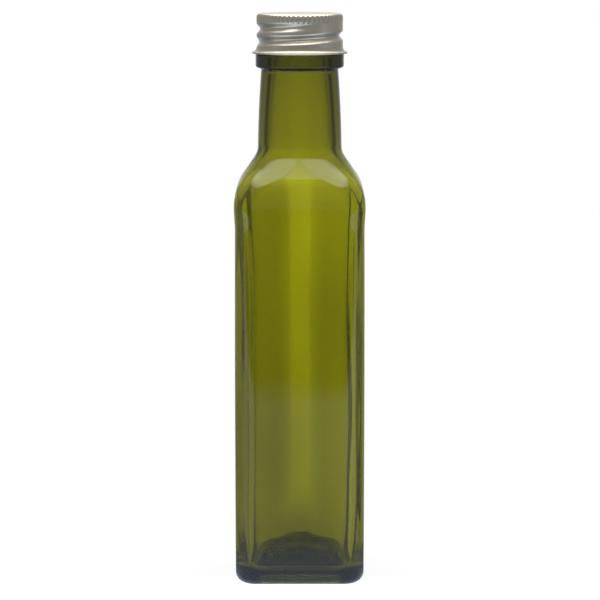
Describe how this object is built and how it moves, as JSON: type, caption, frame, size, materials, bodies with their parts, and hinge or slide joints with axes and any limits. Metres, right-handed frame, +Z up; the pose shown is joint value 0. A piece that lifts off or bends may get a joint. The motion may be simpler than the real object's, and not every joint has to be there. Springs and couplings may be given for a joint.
{
  "type": "square glass bottle with screw cap",
  "caption": "Empty square green glass bottle with a round neck and collar, closed by a knurled aluminium screw cap.",
  "frame": {"origin": "middle of the foot, on the surface the bottle stands on", "axes": "+Z up the bottle's axis towards the cap, X and Y square to the flat panels"},
  "size_m": [0.049, 0.049, 0.213],
  "materials": {
    "green_glass": "smooth moulded olive green bottle glass",
    "aluminium": "satin rolled aluminium with a knurled edge"
  },
  "bodies": {
    "root": {"bottle": "green_glass", "cap": "aluminium"}
  },
  "joints": []
}
